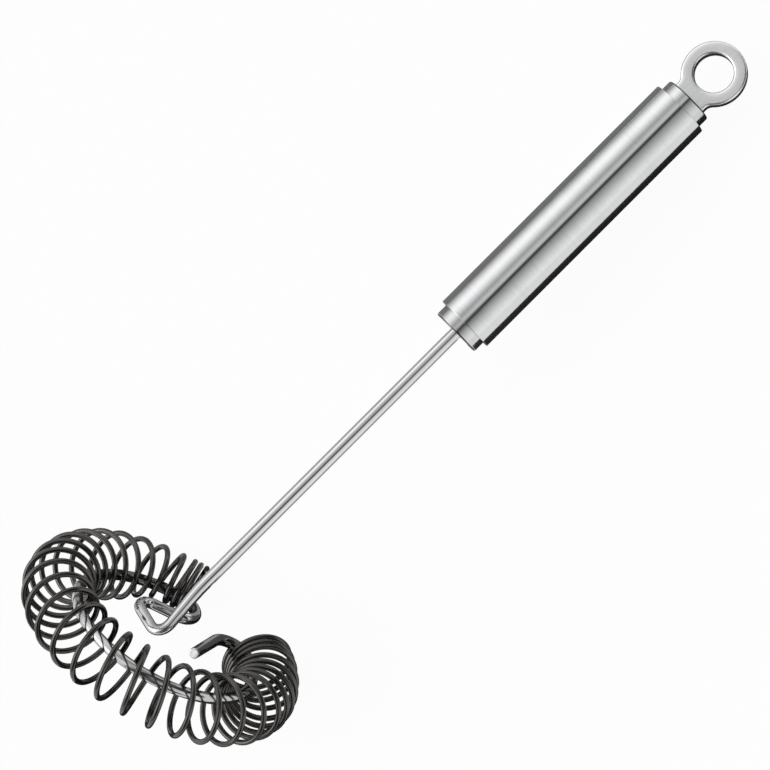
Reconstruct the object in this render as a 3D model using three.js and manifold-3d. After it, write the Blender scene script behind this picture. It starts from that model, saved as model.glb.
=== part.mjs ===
// Spiral whisk: a tubular steel handle with a hanging eye, a bent wire that ends in an open hoop,
// and a long coil spring threaded on the hoop. All sizes are in millimetres and degrees.
// The tool is drawn with its foot at the origin and +X along the shank toward the handle.
// At the end it is laid down on the three points that it rests on, with +Z up.
import * as THREE from 'three';
import { mergeVertices } from 'three/addons/utils/BufferGeometryUtils.js';
import Module from 'manifold-3d';

// Clearance between pieces that sit in or on each other
const fitGap = 0.15;

// Handle tube
const tubeDiameter = 19.1;
const tubeWall = 1.4;
const tubeLength = 92.3;
const tubeEdge = 0.5;

// End caps: a collar that shows, and a plug inside the tube
const collarLength = 3.9;
const collarEdge = 0.9;
const plugLength = 9;
const plugChamfer = 0.6;

// Hanging eye: a stamped ring with a neck that stands on the cap and a tang inside it
const eyeDiameter = 20.3;
const eyeHoleDiameter = 12.2;
const eyeThickness = 3.6;
const eyeEdge = 0.8;
const eyeReach = 10.9;
const eyeNeckWidth = 11.8;
const eyeNeckFillet = 3;
const eyeRoll = 15.8;
const tangWidth = 8;
const tangThickness = 2.2;
const tangLength = 6;

// Shank: drawn down to the hoop's wire just above the foot
const shankDiameter = 4;
const shankLength = 128;
const shankInset = 14;
const taperLength = 18;
const hoopWireDiameter = 3.5;
const wireEndChamfer = 0.3;

// Hoop plane: its tilt against the shank, and the coil's centre beside the foot
const hoopTilt = 25;
const footOffset = 2.1;

// Foot: the wire turns into the hoop plane, runs out and back in a Z, and joins the hoop
const shankBendPlace = 18;
const shankBend = 60;
const footBend = 4.6;
const footDrop = 1.1;
const footSide = 2;
const zReach = 20.4;
const zSlant = 3.8;
const zBend = 4.4;
const returnPlace = 17.2;
const returnOffset = 8;
const returnBend = 3.5;
const joinBend = 7;

// Hoop of core wire, its centre set toward the gap, and the hook that closes it
const coreRadius = 29.9;
const coreShift = 1.9;
const hookAngle = 340;
const hookBend = 6;
const hookTurn = 134;
const hookTail = 15.7;

// Coil: its inner side bears on the far side of the core
const coilMeanDiameter = 20.5;
const coilWireDiameter = 1.6;
const coilCoreGap = 0.7;
const coilSelfGap = 0.5;
const coilStartAngle = -5.8;
const coilEndAngle = 0.3;
const coilPhase = 75;
const firstOpenAngle = 9.6;
const middleOpenAngle = 10.9;
const wideOpenAngle = 12.3;
const lastOpenAngle = 7.8;
const gapAngle = 11;

// First turns of the coil: smaller, set in toward the core and out of the hoop's plane, and side by side
const coilStartDiameter = 15.2;
const coilStartInset = 1.8;
const coilStartLift = 3.6;
const closedShare = 0.0245;
const openShare = 0.0389;
const uprightShare = 0.11;
const taperStartShare = 0.05;
const taperEndShare = 0.16;

// Facets
const turnedSides = 48;
const wireSides = 10;
const bendStepAngle = 15;
const hoopStepAngle = 6;
const coilStepsPerTurn = 12;
const coilSides = 5;

const wasm = await Module();
wasm.setup();

const capDiameter = tubeDiameter - 2 * (tubeWall + fitGap);
const tubeStart = shankLength + collarLength;
const tubeEnd = tubeStart + tubeLength;
const capFace = tubeEnd + collarLength;

const { sin, cos, sqrt, atan2, tan } = Math;
const rad = THREE.MathUtils.degToRad;
const deg = THREE.MathUtils.radToDeg;
const { clamp, smoothstep } = THREE.MathUtils;

// Merges shared corners and drops the empty triangles at the poles.
function weld(geometry) {
  const bare = geometry.clone();
  bare.deleteAttribute('normal');
  bare.deleteAttribute('uv');
  const merged = mergeVertices(bare, 1e-4);
  const corners = [];
  const index = merged.index.array;
  for (let i = 0; i < index.length; i += 3) {
    const [a, b, c] = [index[i], index[i + 1], index[i + 2]];
    if (a !== b && b !== c && c !== a) corners.push(a, b, c);
  }
  merged.setIndex(corners);
  return merged;
}

function toSolid(geometry) {
  const closed = weld(geometry);
  return new wasm.Manifold(new wasm.Mesh({
    numProp: 3,
    vertProperties: new Float32Array(closed.attributes.position.array),
    triVerts: new Uint32Array(closed.index.array),
  }));
}

function fromSolid(solid) {
  const mesh = solid.getMesh();
  const geometry = new THREE.BufferGeometry();
  geometry.setAttribute('position', new THREE.BufferAttribute(mesh.vertProperties, 3));
  geometry.setIndex(new THREE.BufferAttribute(mesh.triVerts, 1));
  return geometry;
}

// Turns a profile of [radius, place along X] about the X axis.
function turned(profile) {
  const points = profile.map(([radius, place]) => new THREE.Vector2(radius, place));
  return weld(new THREE.LatheGeometry(points, turnedSides).rotateZ(-Math.PI / 2));
}

// Quarter of a circle between two directions, for a rounded edge of a profile.
function edgeArc(radiusAtCentre, placeAtCentre, radius, from, to, steps = 4) {
  const arc = [];
  for (let i = 0; i <= steps; i++) {
    const angle = rad(from + ((to - from) * i) / steps);
    arc.push([radiusAtCentre + radius * cos(angle), placeAtCentre + radius * sin(angle)]);
  }
  return arc;
}

function handleTube() {
  const outer = tubeDiameter / 2;
  const inner = outer - tubeWall;
  const profile = [
    [inner, tubeStart],
    ...edgeArc(outer - tubeEdge, tubeStart + tubeEdge, tubeEdge, -90, 0),
    ...edgeArc(outer - tubeEdge, tubeEnd - tubeEdge, tubeEdge, 0, 90),
    [inner, tubeEnd],
  ];
  profile.push(profile[0]);
  return turned(profile);
}

// The lower cap is bored for the shank all the way through.
function lowerCap() {
  const outer = capDiameter / 2;
  const bore = shankDiameter / 2 + fitGap;
  const plugEnd = tubeStart + plugLength;
  const profile = [
    [bore, shankLength],
    ...edgeArc(outer - collarEdge, shankLength + collarEdge, collarEdge, -90, 0),
    [outer, plugEnd - plugChamfer],
    [outer - plugChamfer, plugEnd],
    [bore, plugEnd],
  ];
  profile.push(profile[0]);
  return turned(profile);
}

// The upper cap has a slot that takes the eye's tang.
function upperCap() {
  const outer = capDiameter / 2;
  const plugEnd = tubeEnd - plugLength;
  const plug = turned([
    [0, plugEnd],
    [outer - plugChamfer, plugEnd],
    [outer, plugEnd + plugChamfer],
    ...edgeArc(outer - collarEdge, capFace - collarEdge, collarEdge, 0, 90),
    [0, capFace],
  ]);
  const depth = tangLength + fitGap;
  const slot = new THREE.BoxGeometry(2 * depth, tangWidth + 2 * fitGap, tangThickness + 2 * fitGap);
  slot.rotateX(rad(eyeRoll));
  slot.translate(capFace, 0, 0);
  return fromSolid(toSolid(plug).subtract(toSolid(slot)));
}

// Outline of the eye from the cap's face to the ring, with a concave blend from neck to ring.
function eyeOutline() {
  const radius = eyeDiameter / 2;
  const half = eyeNeckWidth / 2;
  const fillet = eyeNeckFillet;
  const base = capFace + fitGap;
  const ring = capFace + eyeReach;
  const back = sqrt((radius + fillet) ** 2 - (half + fillet) ** 2);
  const blend = ring - back;
  const touch = atan2(half + fillet, -back);
  const shape = new THREE.Shape();
  shape.moveTo(base, -half);
  shape.lineTo(blend, -half);
  shape.absarc(blend, -half - fillet, fillet, Math.PI / 2, Math.PI - touch, true);
  shape.absarc(ring, 0, radius, -touch, touch, false);
  shape.absarc(blend, half + fillet, fillet, touch - Math.PI, -Math.PI / 2, true);
  shape.lineTo(base, half);
  shape.closePath();
  const hole = new THREE.Path();
  hole.absarc(ring, 0, eyeHoleDiameter / 2, 0, 2 * Math.PI, true);
  shape.holes.push(hole);
  return shape;
}

function hangingEye() {
  const plate = new THREE.ExtrudeGeometry(eyeOutline(), {
    depth: eyeThickness - 2 * eyeEdge,
    bevelThickness: eyeEdge,
    bevelSize: eyeEdge,
    bevelOffset: -eyeEdge,
    bevelSegments: 3,
    curveSegments: 20,
  });
  plate.translate(0, 0, eyeEdge - eyeThickness / 2);
  const lap = 2 * eyeEdge + fitGap;
  const tang = new THREE.BoxGeometry(tangLength + lap, tangWidth, tangThickness);
  tang.translate(capFace + (lap - tangLength) / 2, 0, 0);
  return fromSolid(toSolid(plate).add(toSolid(tang))).rotateX(rad(eyeRoll));
}

// Places a point of the hoop's plan: along the lean, across it, and out of the plane.
const hoopNormal = new THREE.Vector3(cos(rad(hoopTilt)), 0, sin(rad(hoopTilt)));
const hoopLean = new THREE.Vector3(sin(rad(hoopTilt)), 0, -cos(rad(hoopTilt)));
function onHoop(along, across, out = 0) {
  return new THREE.Vector3(0, across - footOffset, 0)
    .addScaledVector(hoopLean, along)
    .addScaledVector(hoopNormal, out);
}

// Rounds the corner between two straight runs of wire.
function bend(before, corner, after, radius) {
  const back = before.clone().sub(corner).normalize();
  const on = after.clone().sub(corner).normalize();
  const half = back.angleTo(on) / 2;
  const inward = back.clone().add(on).normalize();
  const centre = corner.clone().addScaledVector(inward, radius / sin(half));
  const first = corner.clone().addScaledVector(back, radius / tan(half)).sub(centre);
  const axis = back.clone().cross(first).normalize();
  const turn = Math.PI - 2 * half;
  const steps = Math.ceil(deg(turn) / bendStepAngle);
  const arc = [];
  for (let i = 0; i <= steps; i++) {
    arc.push(first.clone().applyAxisAngle(axis, (turn * i) / steps).add(centre));
  }
  return arc;
}

// Arc in the hoop plane about a centre given in plan.
function hoopArc([along, across], radius, from, to, step) {
  const steps = Math.ceil((to - from) / step);
  const arc = [];
  for (let i = 0; i <= steps; i++) {
    const angle = rad(from + ((to - from) * i) / steps);
    arc.push(onHoop(along + radius * cos(angle), across + radius * sin(angle)));
  }
  return arc;
}

// The last bend of the Z touches the return run and the inside of the hoop.
const joinAcross = returnOffset + joinBend;
const joinAlong = coreShift + sqrt((coreRadius - joinBend) ** 2 - joinAcross ** 2);
const joinAngle = deg(atan2(joinAcross, joinAlong - coreShift));

function whiskWire() {
  const top = new THREE.Vector3(shankLength + shankInset, 0, 0);
  const shankCorner = new THREE.Vector3(shankBendPlace, 0, 0);
  const foot = new THREE.Vector3(-footDrop, -footSide, 0);
  const zCorner = onHoop(zSlant, zReach);
  const returnCorner = onHoop(returnPlace, returnOffset);
  const joinStart = onHoop(joinAlong, returnOffset);
  const hookCentre = [
    coreShift + (coreRadius - hookBend) * cos(rad(hookAngle)),
    (coreRadius - hookBend) * sin(rad(hookAngle)),
  ];
  const hook = hoopArc(hookCentre, hookBend, hookAngle, hookAngle + hookTurn, bendStepAngle);
  const tailAngle = rad(hookAngle + hookTurn + 90);
  const tailStart = hook[hook.length - 1];
  const tail = (length) => tailStart.clone()
    .addScaledVector(hoopLean, length * cos(tailAngle))
    .add(new THREE.Vector3(0, length * sin(tailAngle), 0));
  const route = [
    top,
    new THREE.Vector3(footBend + taperLength, 0, 0),
    ...bend(top, shankCorner, foot, shankBend),
    ...bend(shankCorner, foot, zCorner, footBend),
    ...bend(foot, zCorner, returnCorner, zBend),
    ...bend(zCorner, returnCorner, joinStart, returnBend),
    ...hoopArc([joinAlong, joinAcross], joinBend, -90, joinAngle, bendStepAngle),
    ...hoopArc([coreShift, 0], coreRadius, joinAngle, hookAngle, hoopStepAngle).slice(1),
    ...hook.slice(1),
    tail(hookTail - wireEndChamfer),
    tail(hookTail),
  ];
  const radii = route.map((point) => {
    const taper = clamp((point.x - footBend) / taperLength, 0, 1);
    return (hoopWireDiameter + (shankDiameter - hoopWireDiameter) * taper) / 2;
  });
  radii[radii.length - 1] -= wireEndChamfer;
  return sweep(route, radii, wireSides);
}

// Closed round tube along a row of points, with a radius at each of them.
function sweep(points, radii, sides) {
  const positions = [];
  const corners = [];
  const last = points.length - 1;
  const heading = (i) => points[Math.min(i + 1, last)].clone().sub(points[Math.max(i - 1, 0)]).normalize();
  let tangent = heading(0);
  const side = new THREE.Vector3(0, 1, 0);
  side.addScaledVector(tangent, -side.dot(tangent)).normalize();
  for (let i = 0; i <= last; i++) {
    const next = heading(i);
    side.applyQuaternion(new THREE.Quaternion().setFromUnitVectors(tangent, next));
    side.addScaledVector(next, -side.dot(next)).normalize();
    tangent = next;
    const up = tangent.clone().cross(side);
    for (let j = 0; j < sides; j++) {
      const angle = (2 * Math.PI * j) / sides;
      const p = points[i].clone()
        .addScaledVector(side, radii[i] * cos(angle))
        .addScaledVector(up, radii[i] * sin(angle));
      positions.push(p.x, p.y, p.z);
    }
  }
  for (let i = 0; i < last; i++) {
    for (let j = 0; j < sides; j++) {
      const a = i * sides + j;
      const b = i * sides + ((j + 1) % sides);
      corners.push(a, b, b + sides, a, b + sides, a + sides);
    }
  }
  const end = last * sides;
  for (let j = 1; j < sides - 1; j++) {
    corners.push(0, j + 1, j);
    corners.push(end, end + j, end + j + 1);
  }
  const geometry = new THREE.BufferGeometry();
  geometry.setAttribute('position', new THREE.Float32BufferAttribute(positions, 3));
  geometry.setIndex(corners);
  return geometry;
}

// The coil's centre circle lies outside the core, so that its inner side bears on the far side.
const coilRadius = coilMeanDiameter / 2;
const coilInnerRadius = coilRadius - coilWireDiameter / 2;
const coilHoopRadius = coreRadius - coreShift + coilInnerRadius - hoopWireDiameter / 2 - coilCoreGap;

// Closed turns almost touch on the hoop's inner side.
const closedPitch = deg((coilWireDiameter + coilSelfGap) / (coilHoopRadius - coilRadius));

// The coil fills the hoop from the Z's last bend to the hook.
const joinEnd = [coreShift + coreRadius * cos(rad(joinAngle)), coreRadius * sin(rad(joinAngle))];
const coilStart = deg(atan2(joinEnd[1], joinEnd[0])) + coilStartAngle;
const coilEnd = hookAngle + coilEndAngle;

// The first turns stand side by side, a wire and its gap apart.
const startPitch = deg((coilWireDiameter + coilSelfGap) / (coilHoopRadius - coilStartInset));

// Hoop angle taken up by one turn, at shares of the coil's length: closed ends and an open middle
const pitchLaw = [
  [0, startPitch],
  [closedShare, startPitch],
  [openShare, firstOpenAngle],
  [0.26, middleOpenAngle],
  [0.5, wideOpenAngle],
  [0.8, wideOpenAngle],
  [0.84, lastOpenAngle],
  [0.92, lastOpenAngle],
  [0.935, gapAngle],
  [0.945, gapAngle],
  [0.955, closedPitch],
  [1, closedPitch],
];

function pitchAt(share) {
  const next = pitchLaw.findIndex(([place]) => place > share);
  if (next < 0) return closedPitch;
  const [fromShare, from] = pitchLaw[next - 1];
  const [toShare, to] = pitchLaw[next];
  return from + ((to - from) * (share - fromShare)) / (toShare - fromShare);
}

// Right-handed helix round the hoop, with a number of steps to each turn.
function coilLine(stepsPerTurn) {
  const points = [];
  let angle = coilStart;
  let turn = coilPhase;
  const span = coilEnd - coilStart;
  while (angle <= coilEnd) {
    const share = (angle - coilStart) / span;
    const taper = 1 - smoothstep(share, taperStartShare, taperEndShare);
    const lean = span * Math.min(share, openShare) * (1 - smoothstep(share, openShare, uprightShare));
    const radius = coilRadius + (taper * (coilStartDiameter - coilMeanDiameter)) / 2;
    const middle = coilHoopRadius - taper * coilStartInset;
    const wide = radius * cos(rad(turn));
    points.push(onHoop(
      middle * cos(rad(angle)) + wide * cos(rad(angle - lean)),
      middle * sin(rad(angle)) + wide * sin(rad(angle - lean)),
      taper * coilStartLift + radius * sin(rad(turn)),
    ));
    angle += pitchAt(share) / stepsPerTurn;
    turn -= 360 / stepsPerTurn;
  }
  return points;
}

function whiskCoil() {
  const line = coilLine(coilStepsPerTurn);
  const straightEnd = (end, inner) => end.clone().add(end.clone().sub(inner).setLength(coilWireDiameter));
  line.unshift(straightEnd(line[0], line[1]));
  line.push(straightEnd(line[line.length - 1], line[line.length - 2]));
  return sweep(line, line.map(() => coilWireDiameter / 2), coilSides);
}

// Least gap of the coil to itself, between points at least half a turn apart.
function leastCoilGap() {
  const steps = 40;
  const line = coilLine(steps);
  let least = Infinity;
  for (let i = 0; i < line.length; i++) {
    for (let j = i + steps / 2; j < line.length; j++) {
      least = Math.min(least, line[i].distanceTo(line[j]));
    }
  }
  return least - coilWireDiameter;
}

function steel(color, roughness) {
  return new THREE.MeshStandardMaterial({ color, roughness, metalness: 1 });
}

const group = new THREE.Group();
function add(name, geometry, material) {
  const mesh = new THREE.Mesh(geometry, material);
  mesh.name = name;
  group.add(mesh);
  return mesh;
}

const brushed = steel(0xc9c8c5, 0.34);
const polished = steel(0xd4d3d0, 0.16);
const dark = steel(0x4a4845, 0.3);
const handle = [
  add('handle_tube', handleTube(), brushed),
  add('lower_end_cap', lowerCap(), brushed),
  add('upper_end_cap', upperCap(), brushed),
  add('hanging_eye', hangingEye(), polished),
];
add('whisk_wire', whiskWire(), polished);
const coil = add('whisk_coil', whiskCoil(), dark);
console.log(`coil: least gap to itself ${leastCoilGap().toFixed(2)} mm`);

function cornersOf(meshes) {
  const corners = [];
  for (const mesh of meshes) {
    const position = mesh.geometry.attributes.position;
    for (let i = 0; i < position.count; i++) {
      corners.push(new THREE.Vector3().fromBufferAttribute(position, i));
    }
  }
  return corners;
}

// The whisk lies on both ends of its coil and on the far end of its handle.
const coilCorners = cornersOf([coil]);
const feet = [
  coilCorners.filter((p) => p.y > 0),
  coilCorners.filter((p) => p.y < 0),
  cornersOf(handle),
];
const up = new THREE.Vector3(0, 0, 1);
for (let round = 0; round < 12; round++) {
  const [a, b, c] = feet.map((corners) => corners.reduce((low, p) => (p.dot(up) < low.dot(up) ? p : low)));
  up.copy(b).sub(a).cross(c.clone().sub(a)).normalize();
  if (up.z < 0) up.negate();
}
const ahead = new THREE.Vector3(1, 0, 0);
ahead.addScaledVector(up, -ahead.dot(up)).normalize();
const aside = up.clone().cross(ahead);
group.applyMatrix4(new THREE.Matrix4().makeBasis(ahead, aside, up).invert());

// The origin is under the middle of the whisk's box.
const box = new THREE.Box3().setFromObject(group, true);
const middle = box.getCenter(new THREE.Vector3());
group.position.sub(new THREE.Vector3(middle.x, middle.y, box.min.z));

export default group;
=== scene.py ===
"""Looks of the spiral whisk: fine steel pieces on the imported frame, a white studio and the camera.

The tool is built in its own frame, in millimetres: the foot of the wire is the origin, +X runs along the
shank toward the handle, and +Z points away from the gap in the hoop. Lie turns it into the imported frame.
"""
from __future__ import annotations

import logging
import math
from dataclasses import dataclass
from enum import Enum
from typing import Any, Iterable, Sequence

import bmesh
import bpy
import numpy as np
from mathutils import Matrix, Vector


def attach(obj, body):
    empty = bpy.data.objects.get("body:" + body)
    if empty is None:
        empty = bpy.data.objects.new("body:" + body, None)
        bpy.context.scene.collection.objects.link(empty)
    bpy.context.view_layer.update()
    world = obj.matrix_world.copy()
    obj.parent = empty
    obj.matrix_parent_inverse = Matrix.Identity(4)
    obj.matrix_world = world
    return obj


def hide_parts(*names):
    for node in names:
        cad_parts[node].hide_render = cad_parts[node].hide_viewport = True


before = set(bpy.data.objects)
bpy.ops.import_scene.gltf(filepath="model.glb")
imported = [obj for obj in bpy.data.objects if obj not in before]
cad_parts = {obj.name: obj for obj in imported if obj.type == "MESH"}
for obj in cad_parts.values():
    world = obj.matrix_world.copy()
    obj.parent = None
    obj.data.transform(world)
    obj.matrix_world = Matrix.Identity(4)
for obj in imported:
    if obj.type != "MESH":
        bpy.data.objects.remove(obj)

LOG = logging.getLogger("spiral_whisk")
MM = 0.001
# Name of the attribute that holds how much painted shade a vertex has.
DARK = "dark"
WHITE = (1.0, 1.0, 1.0, 1.0)

Colour = tuple[float, float, float]
Pair = tuple[float, float]
Profile = list[Pair]
Route = list[Vector]
Socket = bpy.types.NodeSocket
Mesh = bmesh.types.BMesh


def spaced(start: float, end: float, steps: int) -> list[float]:
    """Returns evenly spaced values from start to end, with both of them."""
    return [start + (end - start) * step / steps for step in range(steps + 1)]


def circle(sides: int) -> list[Pair]:
    """Returns the cosine and the sine of even steps round a circle."""
    return [(math.cos(angle), math.sin(angle)) for angle in spaced(0.0, 2 * math.pi, sides)[:-1]]


def ramp(value: float, edge: Pair) -> float:
    """Returns how far a value has come between two others, held between 0 and 1."""
    return min(max((value - edge[0]) / (edge[1] - edge[0]), 0.0), 1.0)


def add_object(name: str, mesh: Mesh) -> bpy.types.Object:
    """Puts a mesh into the scene.

    Args:
        name: name of the object and of its mesh.
        mesh: the mesh, which is used up.

    Returns:
        The object, at the origin.
    """
    data = bpy.data.meshes.new(name)
    mesh.to_mesh(data)
    mesh.free()
    made = bpy.data.objects.new(name, data)
    bpy.context.scene.collection.objects.link(made)
    return made


class Body(Enum):
    """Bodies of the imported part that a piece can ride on."""

    HANDLE = "handle"
    COIL = "coil"


class Grain(Enum):
    """Which way the fine marks of a finish run."""

    ALONG = "along the tool"
    AROUND = "around the tool"
    LOOSE = "in no direction"


@dataclass(frozen=True)
class Lie:
    """How the tool lies on the table: its pitch and roll, and where its foot is."""

    pitch: float = 6.8123
    roll: float = -12.6275
    foot: tuple[float, float, float] = (-112.7743, 2.0182, 36.0090)

    def matrix(self) -> Matrix:
        """Works out how the tool lies.

        Returns:
            The matrix from the tool's millimetres to the frame's metres.
        """
        pitch = Matrix.Rotation(math.radians(self.pitch), 4, "Y")
        roll = Matrix.Rotation(math.radians(self.roll), 4, "X")
        return Matrix.Scale(MM, 4) @ Matrix.Translation(self.foot) @ (pitch @ roll)

    def direction(self, x: float, y: float, z: float) -> Vector:
        """Returns a direction of the tool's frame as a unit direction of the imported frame."""
        return (self.matrix().to_3x3() @ Vector((x, y, z))).normalized()


@dataclass(frozen=True)
class Noise:
    """A noise of the shared groups: how often it repeats and how rough it is."""

    scale: float
    detail: float
    roughness: float = 0.5


class Bench:
    """Adds nodes to a tree, each with its settings and links in one call."""

    def __init__(self, tree: bpy.types.NodeTree) -> None:
        """Keeps the tree that it works on."""
        self.tree = tree
        self.nodes = tree.nodes

    @classmethod
    def group(
        cls, name: str, inputs: dict[str, float | None], outputs: Sequence[str]
    ) -> tuple[Bench, Any, Any]:
        """Starts a shader group with named sockets.

        Args:
            name: the group's name.
            inputs: socket names with their values, where None makes a vector socket.
            outputs: names of the float sockets that it puts out.

        Returns:
            The group's bench, the sockets that it is given and those that it puts out.
        """
        tree = bpy.data.node_groups.new(name, "ShaderNodeTree")
        for label, value in inputs.items():
            kind = "NodeSocketVector" if value is None else "NodeSocketFloat"
            socket = tree.interface.new_socket(name=label, in_out="INPUT", socket_type=kind)
            if value is not None:
                socket.default_value = value
        for label in outputs:
            tree.interface.new_socket(name=label, in_out="OUTPUT", socket_type="NodeSocketFloat")
        bench = cls(tree)
        return bench, bench.add("NodeGroupInput").outputs, bench.add("NodeGroupOutput").inputs

    def give(self, socket: Socket, value: Any) -> None:
        """Links a socket to another one, or sets its value.

        Args:
            socket: an input of a node.
            value: what it gets.
        """
        if isinstance(value, Socket):
            self.tree.links.new(value, socket)
        else:
            socket.default_value = value

    def add(self, kind: str, inputs: dict[Any, Any] | None = None, **settings: Any) -> bpy.types.Node:
        """Adds a node.

        Args:
            kind: the node's type.
            inputs: values or sockets for its inputs, by their name or place.
            settings: the node's own settings.

        Returns:
            The node.
        """
        node = self.nodes.new(kind)
        for label, value in settings.items():
            setattr(node, label, value)
        for label, value in (inputs or {}).items():
            self.give(node.inputs[label], value)
        return node

    def math(self, operation: str, *parts: Socket | float) -> Socket:
        """Adds a math node and returns its output."""
        return self.add("ShaderNodeMath", dict(enumerate(parts)), operation=operation).outputs[0]

    def noise(self, place: Socket, noise: Noise) -> Socket:
        """Adds a noise and returns it."""
        inputs = {"Vector": place, "Scale": noise.scale, "Detail": noise.detail, "Roughness": noise.roughness}
        return self.add("ShaderNodeTexNoise", inputs).outputs["Fac"]

    def mix(self, kind: str, share: Socket, first: Any, second: Any) -> Socket:
        """Adds a mix of two values of a kind and returns it."""
        inputs = {"Factor": share, "A": first, "B": second}
        return self.add("ShaderNodeMix", inputs, data_type=kind).outputs["Result"]

    def ranged(
        self, value: Socket, edge: Sequence[Any], wanted: Sequence[Any] = (0.0, 1.0), kind: str = "SMOOTHSTEP"
    ) -> Socket:
        """Adds a change from one value to another.

        Args:
            value: the value that it follows.
            edge: where on that value it begins and ends.
            wanted: what it puts out there.
            kind: how it goes in between.

        Returns:
            The socket that it puts out.
        """
        labels = ("Value", "From Min", "From Max", "To Min", "To Max")
        inputs = dict(zip(labels, (value, *edge, *wanted)))
        return self.add("ShaderNodeMapRange", inputs, interpolation_type=kind).outputs["Result"]


@dataclass(frozen=True)
class Finish:
    """One steel finish: its colour, its gloss, its fine marks and the colour of its painted shade and dark
    reflections.
    """

    name: str
    colour: Colour
    roughness: float
    grain: Grain
    grain_depth: float
    mark_length: float
    mark_width: float
    wear: float
    shade_colour: Colour | None = None

    def mark_scale(self) -> tuple[float, float, float]:
        """Works out how often the marks repeat in a metre.

        Returns:
            That along the tool, and in the two directions across it.
        """
        long, short = 1 / (self.mark_length * MM), 1 / (self.mark_width * MM)
        scales = {
            Grain.ALONG: (long, short, short),
            Grain.AROUND: (short, long, long),
            Grain.LOOSE: (long, long, long),
        }
        return scales[self.grain]


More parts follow.
